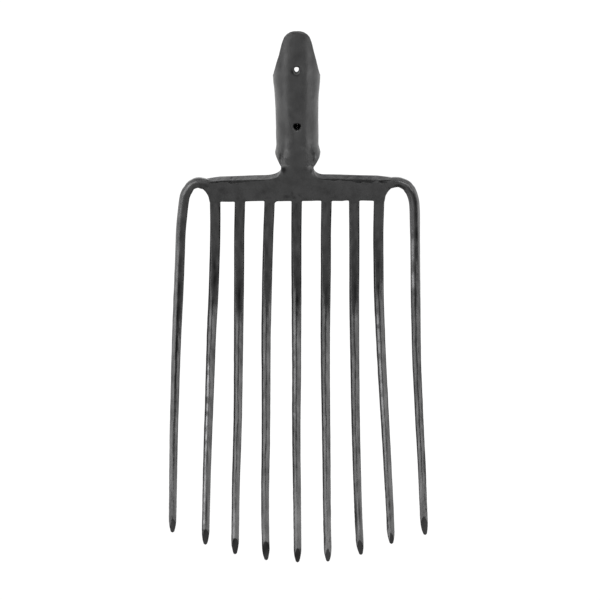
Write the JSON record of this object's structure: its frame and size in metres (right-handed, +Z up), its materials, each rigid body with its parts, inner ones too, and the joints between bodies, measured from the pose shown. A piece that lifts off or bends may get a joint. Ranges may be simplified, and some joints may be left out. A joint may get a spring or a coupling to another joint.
{
  "type": "gravel fork head",
  "caption": "Forged head of a gravel fork: rolled handle socket with a nailing tongue, flat crossbar, and long curved tines whose outer pair loop down over the ends of the bar.",
  "frame": {"origin": "below the middle of the head's outline, on the surface that the head lies on", "axes": "+Z up, +Y from the tips of the tines towards the socket, +X across the tines to the right as the picture shows them"},
  "size_m": [0.2436, 0.4946, 0.069],
  "materials": {
    "rolled_sheet": "black lacquer over smooth rolled steel sheet, half gloss",
    "forged_plate": "black lacquer over hammered steel, satin",
    "forged_tines": "black lacquer over hammered, ridged steel, half gloss"
  },
  "bodies": {
    "root": {"socket": "rolled_sheet", "crossbar": "forged_plate", "left_outer_tine": "forged_tines", "left_tine_3": "forged_tines", "left_tine_2": "forged_tines", "left_tine_1": "forged_tines", "centre_tine": "forged_tines", "right_tine_1": "forged_tines", "right_tine_2": "forged_tines", "right_tine_3": "forged_tines", "right_outer_tine": "forged_tines"}
  },
  "joints": []
}
